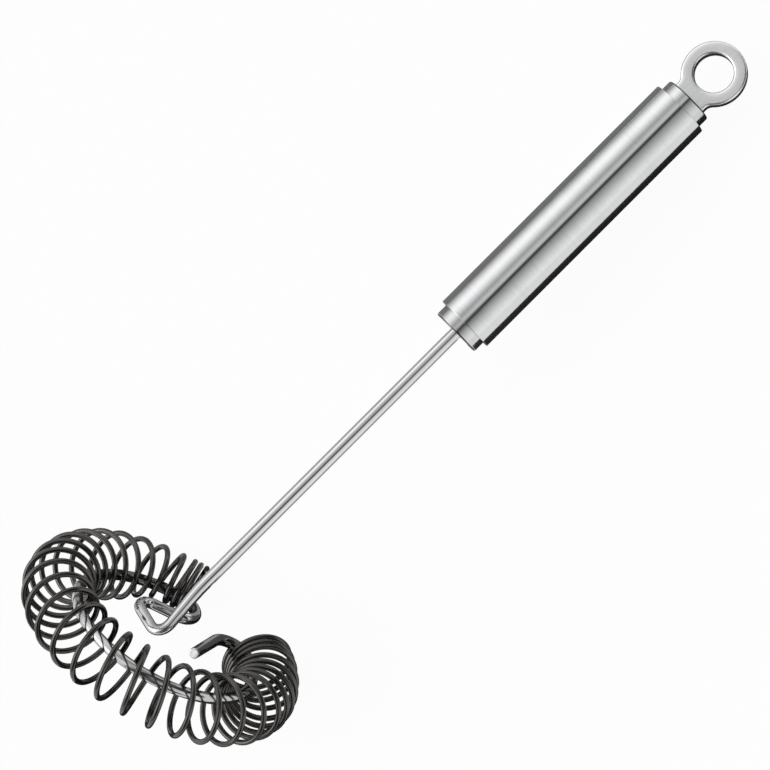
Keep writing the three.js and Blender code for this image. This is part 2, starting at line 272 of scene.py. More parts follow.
class Finishes:
    """Makes the steel materials, which share two node groups."""

    BRUSHED = Finish("brushed_tube_steel", (0.69, 0.695, 0.70), 0.10, Grain.AROUND, 0.05, 6.0, 0.05, 0.3)
    # The caps' last colour is the painted dark reflection round their rims.
    TURNED = Finish(
        "turned_cap_steel", (0.65, 0.655, 0.66), 0.13, Grain.AROUND, 0.06, 5.0, 0.06, 0.4, (0.05, 0.05, 0.05)
    )
    SATIN = Finish("satin_eye_steel", (0.90, 0.905, 0.91), 0.26, Grain.ALONG, 0.08, 3.0, 0.05, 0.4)
    # The wire's last colour is its painted dark reflections and shade.
    BRIGHT = Finish(
        "bright_wire_steel", (0.70, 0.70, 0.70), 0.10, Grain.ALONG, 0.04, 9.0, 0.05, 0.4, (0.06, 0.058, 0.055)
    )
    # The spring's near-black colour is a painted dark reflection: the bright spring wire mirrors a dark room.
    SPRING = Finish("spring_steel_painted_dark", (0.10, 0.097, 0.093), 0.17, Grain.LOOSE, 0.06, 0.8, 0.3, 0.5)

    FINE_NOISE = Noise(1.0, 4.0, 0.6)
    NOISE_MIDDLE = 0.5
    STREAK_NOISE = Noise(0.16, 2.0)
    STREAK_EDGE = (0.35, 0.75)
    STREAK_TINT = 0.6
    WEAR_NOISE = Noise(90.0, 3.0)
    WEAR_EDGE = (0.48, 0.72)
    WEAR_TINT = 0.86
    WEAR_DULLS = 0.08
    MARK_HEIGHT = 0.02 * MM

    def __init__(self, lie: Lie) -> None:
        """Builds the shared groups.

        Args:
            lie: how the tool lies, so that marks can follow it.
        """
        self.lie = lie
        self.marks = self._marks_group()
        self.wear = self._wear_group()
        self.made: dict[str, bpy.types.Material] = {}

    def _marks_group(self) -> bpy.types.NodeTree:
        """Builds the group of fine long marks: stretched noise as a height, a roughness and broad streaks.

        Returns:
            The group.
        """
        inputs = {"Vector": None, "Depth": 0.05, "Roughness": 0.2}
        bench, given, out = Bench.group("fine_marks", inputs, ("Roughness", "Height", "Streaks"))
        fine = bench.noise(given["Vector"], self.FINE_NOISE)
        centred = bench.math("SUBTRACT", fine, self.NOISE_MIDDLE)
        bench.give(out["Roughness"], bench.math("MULTIPLY_ADD", centred, given["Depth"], given["Roughness"]))
        bench.give(out["Height"], fine)
        broad = bench.noise(given["Vector"], self.STREAK_NOISE)
        bench.give(out["Streaks"], bench.ranged(broad, self.STREAK_EDGE, kind="LINEAR"))
        return bench.tree

    def _wear_group(self) -> bpy.types.NodeTree:
        """Builds the group of handling wear: soft patches that dull the steel a little.

        Returns:
            The group.
        """
        bench, given, out = Bench.group("handling_wear", {"Vector": None, "Amount": 0.3}, ("Mask",))
        patches = bench.ranged(bench.noise(given["Vector"], self.WEAR_NOISE), self.WEAR_EDGE)
        bench.give(out["Mask"], bench.math("MULTIPLY", patches, given["Amount"]))
        return bench.tree

    def material(self, finish: Finish) -> bpy.types.Material:
        """Makes the material of a finish, once.

        Args:
            finish: the finish to make.

        Returns:
            The material.
        """
        if finish.name in self.made:
            return self.made[finish.name]
        material = bpy.data.materials.new(finish.name)
        material.use_nodes = True
        bench = Bench(material.node_tree)
        lying = {
            "Vector": bench.add("ShaderNodeTexCoord").outputs["Object"],
            "Location": Vector(self.lie.foot) * MM,
            "Rotation": self.lie.matrix().to_3x3().normalized().to_euler(),
        }
        place = bench.add("ShaderNodeMapping", lying, vector_type="TEXTURE").outputs["Vector"]
        inputs = {"Vector": place, "Scale": finish.mark_scale()}
        stretched = bench.add("ShaderNodeMapping", inputs).outputs["Vector"]
        inputs = {"Vector": stretched, "Depth": finish.grain_depth, "Roughness": finish.roughness}
        marks = bench.add("ShaderNodeGroup", inputs, node_tree=self.marks).outputs
        inputs = {"Vector": place, "Amount": finish.wear}
        wear = bench.add("ShaderNodeGroup", inputs, node_tree=self.wear).outputs["Mask"]
        tinted = bench.math("MULTIPLY_ADD", marks["Streaks"], self.STREAK_TINT, wear)
        worn_and_lit = [self.WEAR_TINT * part for part in finish.colour]
        colour = bench.mix("RGBA", tinted, (*finish.colour, 1.0), (*worn_and_lit, 1.0))
        # Painted shade and dark reflections: the dark attribute mixes in the finish's shade colour.
        if finish.shade_colour:
            painted_shade = bench.add("ShaderNodeAttribute", attribute_name=DARK).outputs["Fac"]
            colour = bench.mix("RGBA", painted_shade, colour, (*finish.shade_colour, 1.0))
        height = {"Strength": finish.grain_depth, "Distance": self.MARK_HEIGHT, "Height": marks["Height"]}
        looks = {
            "Metallic": 1.0,
            "Base Color": colour,
            "Roughness": bench.math("MULTIPLY_ADD", wear, self.WEAR_DULLS, marks["Roughness"]),
            "Normal": bench.add("ShaderNodeBump", height).outputs["Normal"],
        }
        for label, value in looks.items():
            bench.give(bench.nodes["Principled BSDF"].inputs[label], value)
        self.made[finish.name] = material
        return material


class Workshop:
    """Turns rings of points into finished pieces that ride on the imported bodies."""

    def __init__(self, lie: Lie, finishes: Finishes) -> None:
        """Keeps how the tool lies, and the steel finishes."""
        self.lie = lie
        self.finishes = finishes

    @staticmethod
    def edge_arc(
        radius: float, place: float, round_off: float, start: float, end: float, steps: int = 10
    ) -> Profile:
        """Returns points of a turned profile on an arc about a radius and a place, with angles in degrees."""
        turns = map(math.radians, spaced(start, end, steps))
        return [(radius + round_off * math.cos(turn), place + round_off * math.sin(turn)) for turn in turns]

    @staticmethod
    def bridge(mesh: Mesh, rows: Sequence[Sequence[bmesh.types.BMVert]]) -> None:
        """Joins closed rows of equally many vertices with quads.

        Args:
            mesh: the mesh of the vertices.
            rows: the rows, in order.
        """
        for first, second in zip(rows, rows[1:]):
            for i in range(len(first)):
                j = (i + 1) % len(first)
                mesh.faces.new((first[i], first[j], second[j], second[i]))

    def ringed(self, rows: Sequence[Sequence[Vector]], dark: Sequence[float], closed: bool) -> Mesh:
        """Makes a mesh of rings.

        Args:
            rows: the rings, in order.
            dark: how much painted shade each ring has, kept as an attribute; none where no value is given.
            closed: True joins the last ring to the first, False fills both ends.

        Returns:
            The mesh.
        """
        mesh = bmesh.new()
        layer = mesh.verts.layers.float.new(DARK)
        made = [[mesh.verts.new(point) for point in row] for row in rows]
        self.bridge(mesh, made + made[:1] if closed else made)
        if not closed:
            mesh.faces.new(list(reversed(made[0])))
            mesh.faces.new(made[-1])
        for row, value in zip(made, dark):
            for vert in row:
                vert[layer] = value
        return mesh

    def turned(self, profile: Profile, dark: Sequence[float] = (), sides: int = 160) -> Mesh:
        """Turns a closed profile about the tool's axis.

        Args:
            profile: points of radius and place along the axis.
            dark: how much painted shade there is at each of them, if there is any.
            sides: number of sides.

        Returns:
            The mesh.
        """
        rows = []
        for radius, place in profile:
            rows.append([Vector((place, radius * across, radius * up)) for across, up in circle(sides)])
        return self.ringed(rows, dark, closed=True)

    def swept(self, route: Route, radii: Sequence[float], dark: Sequence[float], sides: int) -> Mesh:
        """Sweeps a round wire along a route.

        Args:
            route: points of its centre line.
            radii: its radius at each of them.
            dark: how much painted shade it has at each of them.
            sides: number of sides.

        Returns:
            The mesh, with both ends closed.
        """
        last = len(route) - 1
        tangent = (route[1] - route[0]).normalized()
        side = Vector((0, 1, 0))
        rows = []
        for i, point in enumerate(route):
            heading = (route[min(i + 1, last)] - route[max(i - 1, 0)]).normalized()
            side = tangent.rotation_difference(heading) @ side
            side = (side - heading * side.dot(heading)).normalized()
            tangent = heading
            up = tangent.cross(side)
            rows.append([point + (side * wide + up * high) * radii[i] for wide, high in circle(sides)])
        return self.ringed(rows, dark, closed=False)

    def piece(self, name: str, mesh: Mesh, finish: Finish, sharp: float = 40.0) -> bpy.types.Object:
        """Lays a mesh of the tool's frame down and makes it a smooth object with its finish.

        Args:
            name: the object's name.
            mesh: the mesh, which is used up.
            finish: its finish.
            sharp: angle in degrees past which an edge stays sharp.

        Returns:
            The object.
        """
        bmesh.ops.recalc_face_normals(mesh, faces=mesh.faces)
        made = add_object(name, mesh)
        made.data.transform(self.lie.matrix())
        made.data.shade_smooth()
        made.data.set_sharp_from_angle(angle=math.radians(sharp))
        made.data.materials.append(self.finishes.material(finish))
        return made

    @staticmethod
    def fit(piece: bpy.types.Object, body: Body, node: str, slot: str) -> None:
        """Puts a piece in the place of a CAD node.

        Args:
            piece: the finished piece.
            body: the body that carries it.
            node: the node that it stands for.
            slot: the record's material slot; not used.
        """
        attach(piece, body.value)
        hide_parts(node)
        LOG.info("%s rides on %s and stands for %s", piece.name, body.value, node)


@dataclass
class Handle:
    """The tube, its two end caps and the hanging eye.

    The edges are the radii of the rounded rims. The support keeps their shading off the flat runs.
    """

    tube_diameter: float = 19.1
    tube_wall: float = 1.4
    tube_length: float = 92.3
    tube_edge: float = 0.15
    fit_gap: float = 0.15
    collar_length: float = 3.9
    collar_edge: float = 0.6
    rim_shade: float = 0.85
    rim_depth: float = 0.75
    plug_length: float = 9.0
    plug_core: float = 0.4
    shank_length: float = 128.0
    shank_diameter: float = 4.0
    eye_diameter: float = 20.3
    eye_hole: float = 12.2
    eye_thickness: float = 3.6
    eye_edge: float = 0.8
    eye_crown: float = 1.85
    eye_slope: float = 6.0
    eye_reach: float = 10.9
    eye_sides: int = 96
    neck_width: float = 11.8
    neck_fillet: float = 3.0
    neck_steps: int = 16
    eye_roll: float = 15.8
    support: float = 0.2

    @property
    def tube_start(self) -> float:
        """Returns the place of the tube's lower end."""
        return self.shank_length + self.collar_length

    @property
    def tube_end(self) -> float:
        """Returns the place of the tube's upper end."""
        return self.tube_start + self.tube_length

    @property
    def cap_face(self) -> float:
        """Returns the place of the upper cap's outer face."""
        return self.tube_end + self.collar_length

    @property
    def cap_radius(self) -> float:
        """Returns the radius of both caps."""
        return self.tube_diameter / 2 - self.tube_wall - self.fit_gap

    def tube(self, shop: Workshop) -> Mesh:
        """Turns the tube, with its outer rims rounded.

        Args:
            shop: makes the mesh.

        Returns:
            The mesh.
        """
        outer = self.tube_diameter / 2
        inner = outer - self.tube_wall
        rim = self.tube_edge
        profile = [(inner, self.tube_start)]
        profile += shop.edge_arc(outer - rim, self.tube_start + rim, rim, -90, 0)
        profile += [(outer, self.tube_start + rim + self.support)]
        profile += [(outer, self.tube_end - rim - self.support)]
        profile += shop.edge_arc(outer - rim, self.tube_end - rim, rim, 0, 90)
        profile += [(inner, self.tube_end)]
        return shop.turned(profile)

    def cap(self, shop: Workshop, face: float, bore: float, inward: int) -> Mesh:
        """Turns an end cap. A painted dark reflection stays as a thin line round its rim.

        Args:
            shop: makes the mesh.
            face: place of its outer face.
            bore: radius of its bore. The eye's neck covers the fine one that turning leaves in the upper cap.
            inward: 1 where the tube lies beyond the face, -1 where it lies before it.

        Returns:
            The mesh.
        """
        edge, outer = self.collar_edge, self.cap_radius
        plug_end = face + inward * (self.collar_length + self.plug_length)
        profile = [(bore, face), (outer - edge - self.support, face)]
        profile += shop.edge_arc(outer - edge, face + inward * edge, edge, -90 * inward, 0)
        profile += [(outer, face + inward * (edge + self.support)), (outer, plug_end), (bore, plug_end)]
        # The rows on the rounded rim get the painted dark reflection.
        inner = outer - edge - self.support / 2
        dark = []
        for radius, place in profile:
            on_rim = radius > inner and abs(place - face) < self.rim_depth * edge
            dark.append(self.rim_shade if on_rim else 0.0)
        return shop.turned(profile, dark)

    def eye_outline(self, inset: float) -> Profile:
        """Draws the eye's outer outline, from the cap round the ring and back.

        Args:
            inset: how far the outline lies inside the real one.

        Returns:
            Points along the tool and across it.
        """
        radius = self.eye_diameter / 2 - inset
        half = self.neck_width / 2 - inset
        fillet = self.neck_fillet + inset
        ring = self.cap_face + self.eye_reach
        back = math.sqrt((radius + fillet) ** 2 - (half + fillet) ** 2)
        touch = math.atan2(half + fillet, -back)
        neck = [(self.cap_face + self.fit_gap, -half)]
        for angle in spaced(math.pi / 2, math.pi - touch, self.neck_steps):
            neck.append((ring - back + fillet * math.cos(angle), -half - fillet + fillet * math.sin(angle)))
        rounds = spaced(-touch, touch, self.eye_sides)[1:-1]
        outline = neck + [(ring + radius * math.cos(angle), radius * math.sin(angle)) for angle in rounds]
        return outline + [(along, -across) for along, across in reversed(neck)]

    def eye_levels(self, steps: int = 8) -> Profile:
        """Draws the eye's section, from the crown of its face down to the middle of its wall.

        Args:
            steps: number of chords of the dome and of the rounded edge.

        Returns:
            Points of inset from the outline and height over the eye's middle plane.
        """
        slope = math.radians(self.eye_slope)
        rim = self.eye_edge * (1 - math.sin(slope))
        dome = math.tan(slope) * (self.eye_crown - rim) / 2
        half = self.eye_thickness / 2
        levels = []
        for share in spaced(0.0, 1.0, steps)[:-1]:
            levels.append((self.eye_crown + (rim - self.eye_crown) * share, half - dome * share**2))
        for angle in spaced(slope, math.pi / 2, steps):
            inset = rim + self.eye_edge * (math.sin(slope) - math.sin(angle))
            levels.append((inset, half - dome + self.eye_edge * (math.cos(angle) - math.cos(slope))))
        return levels

    def eye(self, shop: Workshop) -> Mesh:
        """Builds the stamped eye: a plate that is domed toward its outline and its hole.

        Args:
            shop: joins its rows.

        Returns:
            The mesh.
        """
        ring = self.cap_face + self.eye_reach
        levels = self.eye_levels()
        tilt = Matrix.Rotation(math.radians(self.eye_roll), 4, "X")
        mesh = bmesh.new()
        outer, hole = [], []
        for inset, height in levels + [(inset, -height) for inset, height in reversed(levels)]:
            radius = self.eye_hole / 2 + inset
            inside = [(ring + radius * along, radius * across) for along, across in circle(self.eye_sides)]
            for rows, points in ((outer, self.eye_outline(inset)), (hole, inside)):
                rows.append([mesh.verts.new(tilt @ Vector((x, y, height))) for x, y in points])
        shop.bridge(mesh, outer)
        shop.bridge(mesh, hole)
        for level in (0, -1):
            rims = (outer[level], hole[level])
            edges = [mesh.edges.get(pair) for rim in rims for pair in zip(rim, rim[1:] + rim[:1])]
            bmesh.ops.triangle_fill(mesh, use_beauty=True, edges=edges)
        return mesh

    def build(self, shop: Workshop) -> None:
        """Makes the four pieces.

        Args:
            shop: makes and places them.
        """
        steel = shop.finishes
        shank_bore = self.shank_diameter / 2 + self.fit_gap
        lower = self.cap(shop, self.shank_length, shank_bore, 1)
        upper = self.cap(shop, self.cap_face, self.plug_core, -1)
        for name, mesh, finish, node, slot in (
            ("brushed_tube", self.tube(shop), steel.BRUSHED, "handle_tube", "handle"),
            ("lower_cap", lower, steel.TURNED, "lower_end_cap", "caps"),
            ("upper_cap", upper, steel.TURNED, "upper_end_cap", "caps"),
            ("stamped_eye", self.eye(shop), steel.SATIN, "hanging_eye", "eye"),
        ):
            shop.fit(shop.piece(name, mesh, finish), Body.HANDLE, node, slot)


@dataclass
class Hoop:
    """The plane of the hoop: its tilt against the shank, and the coil's centre beside the foot."""

    tilt: float = 25.0
    foot_offset: float = 2.1

    def matrix(self) -> Matrix:
        """Works out how the hoop stands.

        Returns:
            The matrix from the hoop's plan, along, across and out, to the tool's frame.
        """
        angle = math.radians(self.tilt)
        lean = Vector((math.sin(angle), 0, -math.cos(angle)))
        out = Vector((math.cos(angle), 0, math.sin(angle)))
        turn = Matrix((lean, Vector((0, 1, 0)), out)).transposed().to_4x4()
        return Matrix.Translation((0, -self.foot_offset, 0)) @ turn

    def at(self, along: float, across: float) -> Vector:
        """Returns a point of the plan, along the hoop's lean and across the tool, in the tool's frame."""
        return self.matrix() @ Vector((along, across, 0))


@dataclass
class Wire:
    """The bent wire: shank, foot, Z, hoop and hook.

    The dark values paint dark reflections and shade onto the wire, from 0 to 1. On the hoop they fade out
    between the first pair of angles, where the coil opens, and come back between the second, where it closes
    again.
    """

    hoop: Hoop
    shank_diameter: float = 4.0
    shank_top: float = 142.0
    taper_length: float = 18.0
    wire_diameter: float = 3.5
    end_round: float = 0.35
    end_steps: int = 6
    end_shaded: int = 2
    shank_bend_place: float = 18.0
    shank_bend: float = 60.0
    foot_bend: float = 4.6
    foot_drop: float = 1.1
    foot_side: float = 2.0
    z_reach: float = 20.4
    z_slant: float = 3.8
    z_bend: float = 4.4
    return_place: float = 17.2
    return_offset: float = 8.0
    return_bend: float = 3.5
    join_bend: float = 7.0
    core_radius: float = 29.9
    core_shift: float = 1.9
    hook_angle: float = 340.0
    hook_bend: float = 6.0
    hook_turn: float = 134.0
    hook_tail: float = 15.7
    z_dark: float = 0.1
    top_dark: float = 0.8
    hoop_dark: float = 0.2
    hook_dark: float = 0.82
    inner_dark: float = 0.9
    inner_edge: Pair = (-0.45, 0.0)
    worn_and_lit: Pair = (95.0, 150.0)
    dark_return: Pair = (272.0, 296.0)
    sides: int = 40
    bend_step: float = 4.0
    core_step: float = 2.0

    def bend(self, before: Vector, corner: Vector, after: Vector, radius: float) -> Route:
        """Rounds a corner between two straight runs.

        Args:
            before: a point on the first run.
            corner: where the runs would meet.
            after: a point on the second run.
            radius: radius of the bend.

        Returns:
            Points of the bend.
        """
        back = (before - corner).normalized()
        on = (after - corner).normalized()
        half = back.angle(on) / 2
        centre = corner + (back + on).normalized() * (radius / math.sin(half))
        first = corner + back * (radius / math.tan(half)) - centre
        axis = back.cross(first).normalized()
        turn = math.pi - 2 * half
        steps = math.ceil(math.degrees(turn) / self.bend_step)
        return [centre + Matrix.Rotation(angle, 3, axis) @ first for angle in spaced(0.0, turn, steps)]

    def arc(self, centre: Pair, radius: float, start: float, end: float, step: float) -> Route:
        """Draws an arc in the hoop's plane.

        Args:
            centre: its centre in the plan.
            radius: its radius.
            start: first angle in degrees.
            end: last angle in degrees.
            step: largest step in degrees.

        Returns:
            Points of the arc.
        """
        route = []
        for degrees in spaced(start, end, math.ceil((end - start) / step)):
            angle = math.radians(degrees)
            across = centre[1] + radius * math.sin(angle)
            route.append(self.hoop.at(centre[0] + radius * math.cos(angle), across))
        return route

    def radius(self, point: Vector) -> float:
        """Returns the wire's radius at a point: the shank thins toward the foot."""
        share = ramp(point.x, (self.foot_bend, self.foot_bend + self.taper_length))
        return (self.wire_diameter + (self.shank_diameter - self.wire_diameter) * share) / 2

    def core_dark(self, angle: float) -> float:
        """Returns how dark the hoop is painted at an angle in degrees: painted dark reflections on both ends,
        lighter between.
        """
        dark = self.top_dark + (self.hoop_dark - self.top_dark) * ramp(angle, self.worn_and_lit)
        return dark + (self.hook_dark - dark) * ramp(angle, self.dark_return)

    def route(self) -> tuple[Route, list[float], list[float]]:
        """Draws the whole centre line.

        Returns:
            Its points, the wire's radius at each of them, and how dark it is there.
        """
        at = self.hoop.at
        top = Vector((self.shank_top, 0, 0))
        corner = Vector((self.shank_bend_place, 0, 0))
        foot = Vector((-self.foot_drop, -self.foot_side, 0))
        z_corner = at(self.z_slant, self.z_reach)
        return_corner = at(self.return_place, self.return_offset)
        join_across = self.return_offset + self.join_bend
        join_reach = math.sqrt((self.core_radius - self.join_bend) ** 2 - join_across**2)
        join = (self.core_shift + join_reach, join_across)
        join_angle = math.degrees(math.atan2(join_across, join_reach))
        shank = [top, top.lerp(corner, 0.5), Vector((self.foot_bend + self.taper_length, 0, 0))]
        shank += self.bend(top, corner, foot, self.shank_bend)
        z_run = self.bend(corner, foot, z_corner, self.foot_bend)
        z_run += self.bend(foot, z_corner, return_corner, self.z_bend)
        z_run += self.bend(z_corner, return_corner, at(join[0], self.return_offset), self.return_bend)
        joined = self.arc(join, self.join_bend, -90, join_angle, self.bend_step)
        core = self.arc((self.core_shift, 0), self.core_radius, join_angle, self.hook_angle, self.core_step)
        hook_reach = self.core_radius - self.hook_bend
        angle = math.radians(self.hook_angle)
        centre = (self.core_shift + hook_reach * math.cos(angle), hook_reach * math.sin(angle))
        hook_end = self.hook_angle + self.hook_turn
        hook = self.arc(centre, self.hook_bend, self.hook_angle, hook_end, self.bend_step)
        route = shank + z_run + joined + core[1:] + hook[1:]
        radii = [self.radius(point) for point in route]
        # Painted dark reflections along the wire: none on the shank, dark on the hoop's ends and the hook, none
        # on the cut end.
        dark = [0.0] * len(shank) + [self.z_dark] * len(z_run) + [self.top_dark] * len(joined)
        dark += [self.core_dark(place) for place in spaced(join_angle, self.hook_angle, len(core) - 1)[1:]]
        dark += [self.hook_dark] * (len(hook) - 1)
        aim = (hook[-1] - hook[-2]).normalized()
        for step, angle in enumerate(spaced(0.0, math.pi / 2, self.end_steps)):
            route.append(hook[-1] + aim * (self.hook_tail - self.end_round * (1 - math.sin(angle))))
            radii.append(self.wire_diameter / 2 - self.end_round * (1 - math.cos(angle)))
            dark.append(self.hook_dark if step < self.end_shaded else 0.0)
        return route, radii, dark

    def paint_inner_shade(self, mesh: Mesh) -> None:
        """Paints shade on the hoop's inner side.

        Args:
            mesh: the wire.
        """
        layer = mesh.verts.layers.float[DARK]
        plan = self.hoop.matrix().inverted()
        radius = self.wire_diameter / 2
        margin = 1.1
        for vert in mesh.verts:
            along, across, out = plan @ vert.co
            along -= self.core_shift
            angle = math.degrees(math.atan2(across, along)) % 360
            inward = (self.core_radius - math.hypot(along, across)) / radius
            on_core = abs(inward) < margin and abs(out) < margin * radius
            if on_core and self.worn_and_lit[0] < angle < self.hook_angle:
                vert[layer] = max(vert[layer], self.inner_dark * ramp(inward, self.inner_edge))

    def build(self, shop: Workshop) -> None:
        """Makes the wire.

        Args:
            shop: makes and places it.
        """
        mesh = shop.swept(*self.route(), self.sides)
        self.paint_inner_shade(mesh)
        wire = shop.piece("bent_wire", mesh, shop.finishes.BRIGHT)
        shop.fit(wire, Body.HANDLE, "whisk_wire", "wire")


@dataclass
class Coil:
    """The long coil spring on the hoop, wound by a Geometry Nodes tree.

    A pitch is the angle of hoop that one turn takes up, and a share is a place on the wound part of the hoop.
    """

    hoop: Hoop
    hoop_radius: float = 35.0
    mean_diameter: float = 20.5
    wire_diameter: float = 1.75
    start: float = 32.82
    end: float = 340.3
    phase: float = 75.0
    start_pitch: float = 3.624
    closed_pitch: float = 4.86
    first_pitch: float = 9.6
    middle_pitch: float = 10.9
    wide_pitch: float = 12.3
    last_pitch: float = 7.8
    gap_pitch: float = 11.0
    start_diameter: float = 15.2
    start_inset: float = 1.8
    start_lift: float = 3.6
    closed_share: float = 0.0245
    open_share: float = 0.0389
    upright_share: float = 0.11
    middle_share: float = 0.26
    wide_shares: Pair = (0.5, 0.8)
    last_shares: Pair = (0.84, 0.92)
    gap_shares: Pair = (0.935, 0.945)
    end_share: float = 0.955
    taper_shares: Pair = (0.05, 0.16)
    steps_per_turn: int = 48
    sides: int = 16
    sharp: float = 50.0

    def pitch_law(self) -> list[Pair]:
        """Sets out the pitch along the hoop: closed ends, an open middle and one wide gap near the end.

        Returns:
            Shares of the hoop with the pitch at each of them.
        """
        runs = (
            ((0.0, self.closed_share), self.start_pitch),
            ((self.open_share,), self.first_pitch),
            ((self.middle_share,), self.middle_pitch),
            (self.wide_shares, self.wide_pitch),
            (self.last_shares, self.last_pitch),
            (self.gap_shares, self.gap_pitch),
            ((self.end_share, 1.0), self.closed_pitch),
        )
        return [(share, pitch) for shares, pitch in runs for share in shares]

    def winding(self, steps: int = 4000, kept: int = 160) -> tuple[float, list[Pair]]:
        """Adds up the turns along the hoop.

        Args:
            steps: number of steps of the sum.
            kept: number of points kept for the curve.

        Returns:
            The number of turns, and points of the share of turns against the share of hoop.
        """
        shares, pitches = zip(*self.pitch_law())
        pitch = np.interp((np.arange(steps) + 0.5) / steps, shares, pitches)
        turns = [0.0, *np.cumsum((self.end - self.start) / steps / pitch).tolist()]
        return turns[-1], [(turns[i] / turns[-1], i / steps) for i in range(0, steps + 1, steps // kept)]

    @staticmethod
    def wound_share(bench: Bench, share: Socket, curve: Sequence[Pair]) -> Socket:
        """Adds the curve from the share of turns to the share of hoop.

        Args:
            bench: the tree.
            share: the share of turns.
            curve: points of the curve.

        Returns:
            The share of hoop.
        """
        wound = bench.add("ShaderNodeFloatCurve", {"Value": share})
        points = wound.mapping.curves[0].points
        points[0].location, points[1].location = curve[0], curve[-1]
        for place in curve[1:-1]:
            points.new(*place)
        for point in points:
            point.handle_type = "VECTOR"
        wound.mapping.update()
        return wound.outputs["Value"]

    def line(self, bench: Bench, given: Any, share: Socket, wound: Socket) -> Socket:
        """Adds the helix: its first turns are smaller, set in and lifted, and lean until the coil opens.

        Args:
            bench: the tree.
            given: the tree's named inputs.
            share: the share of turns.
            wound: the share of hoop.

        Returns:
            The place of each point in the hoop's plan.
        """
        calc = bench.math
        taper = bench.ranged(wound, self.taper_shares, (1.0, 0.0))
        leaning = bench.ranged(wound, (self.open_share, self.upright_share), (1.0, 0.0))
        beside = calc("MULTIPLY", calc("MINIMUM", wound, self.open_share), given["Span"])
        angle = calc("MULTIPLY_ADD", wound, given["Span"], given["Start"])
        leant = calc("SUBTRACT", angle, calc("MULTIPLY", beside, leaning))
        smaller = calc("SUBTRACT", given["Start Radius"], given["Coil Radius"])
        radius = calc("MULTIPLY_ADD", taper, smaller, given["Coil Radius"])
        middle = calc("SUBTRACT", given["Hoop Radius"], calc("MULTIPLY", taper, given["Start Inset"]))
        round_turn = calc("MULTIPLY", share, calc("MULTIPLY", given["Turns"], 2 * math.pi))
        turn = calc("SUBTRACT", given["Phase"], round_turn)
        wide = calc("MULTIPLY", radius, calc("COSINE", turn))
        place = {}
        for axis, wave in (("X", "COSINE"), ("Y", "SINE")):
            across = calc("MULTIPLY", wide, calc(wave, leant))
            place[axis] = calc("MULTIPLY_ADD", middle, calc(wave, angle), across)
        lift = calc("MULTIPLY", taper, given["Start Lift"])
        place["Z"] = calc("MULTIPLY_ADD", radius, calc("SINE", turn), lift)
        return bench.add("ShaderNodeCombineXYZ", place).outputs["Vector"]

    def tree(self) -> tuple[bpy.types.NodeTree, dict[str, float]]:
        """Builds the tree that winds the coil.

        Returns:
            The tree, and the values of its named inputs.
        """
        turns, curve = self.winding()
        tree = bpy.data.node_groups.new("coil_winding", "GeometryNodeTree")
        values = {
            "Hoop Radius": self.hoop_radius,
            "Coil Radius": self.mean_diameter / 2,
            "Start Radius": self.start_diameter / 2,
            "Start Inset": self.start_inset,
            "Start Lift": self.start_lift,
            "Wire Radius": self.wire_diameter / 2,
            "Start": math.radians(self.start),
            "Span": math.radians(self.end - self.start),
            "Phase": math.radians(self.phase),
            "Turns": turns,
        }
        tree.interface.new_socket(name="Geometry", in_out="INPUT", socket_type="NodeSocketGeometry")
        for label, value in values.items():
            socket = tree.interface.new_socket(name=label, in_out="INPUT", socket_type="NodeSocketFloat")
            socket.default_value = value
        tree.interface.new_socket(name="Finish", in_out="INPUT", socket_type="NodeSocketMaterial")
        tree.interface.new_socket(name="Geometry", in_out="OUTPUT", socket_type="NodeSocketGeometry")
        bench = Bench(tree)
        given = bench.add("NodeGroupInput").outputs
        share = bench.add("GeometryNodeSplineParameter").outputs["Factor"]
        inputs = {
            "Curve": bench.add("GeometryNodeCurvePrimitiveLine").outputs["Curve"],
            "Count": round(turns * self.steps_per_turn),
        }
        fine = bench.add("GeometryNodeResampleCurve", inputs, mode="COUNT")
        line = self.line(bench, given, share, self.wound_share(bench, share, curve))
        moved = bench.add("GeometryNodeSetPosition", {"Geometry": fine.outputs["Curve"], "Position": line})
        inputs = {"Resolution": self.sides, "Radius": given["Wire Radius"]}
        section = bench.add("GeometryNodeCurvePrimitiveCircle", inputs).outputs["Curve"]
        inputs = {"Curve": moved.outputs["Geometry"], "Profile Curve": section, "Fill Caps": True}
        tube = bench.add("GeometryNodeCurveToMesh", inputs)
        whole = bench.add("GeometryNodeRealizeInstances", {"Geometry": tube.outputs["Mesh"]})
        inputs = {"Geometry": whole.outputs["Geometry"], "Material": given["Finish"]}
        dressed = bench.add("GeometryNodeSetMaterial", inputs)
        bench.add("NodeGroupOutput", {"Geometry": dressed.outputs["Geometry"]})
        return tree, values

    def build(self, shop: Workshop) -> None:
        """Winds the coil and makes it a plain mesh.

        Args:
            shop: makes and places it.
        """
        finish = shop.finishes.SPRING
        tree, values = self.tree()
        holder = add_object("coil_holder", bmesh.new())
        winding = holder.modifiers.new("winding", "NODES")
        winding.node_group = tree
        sockets = {item.name: item.identifier for item in tree.interface.items_tree if item.in_out == "INPUT"}
        for label, value in values.items():
            winding[sockets[label]] = value
        winding[sockets["Finish"]] = shop.finishes.material(finish)
        evaluated = holder.evaluated_get(bpy.context.evaluated_depsgraph_get())
        data = bpy.data.meshes.new_from_object(evaluated)
        bpy.data.objects.remove(holder)
        data.transform(self.hoop.matrix())
        mesh = bmesh.new()
        mesh.from_mesh(data)
        bpy.data.meshes.remove(data)
        coil = shop.piece("spring_coil", mesh, finish, self.sharp)
        shop.fit(coil, Body.COIL, "whisk_coil", "coil")


@dataclass(frozen=True)
class Softbox:
    """A long lamp beside the tool that every steel piece shows as a bright band, or a dark slit between two."""

    angle: float
    spread: float
    strength: float

    def band(self) -> Pair:
        """Returns its centre and its spread in radians."""
        return math.radians(self.angle), math.radians(self.spread)


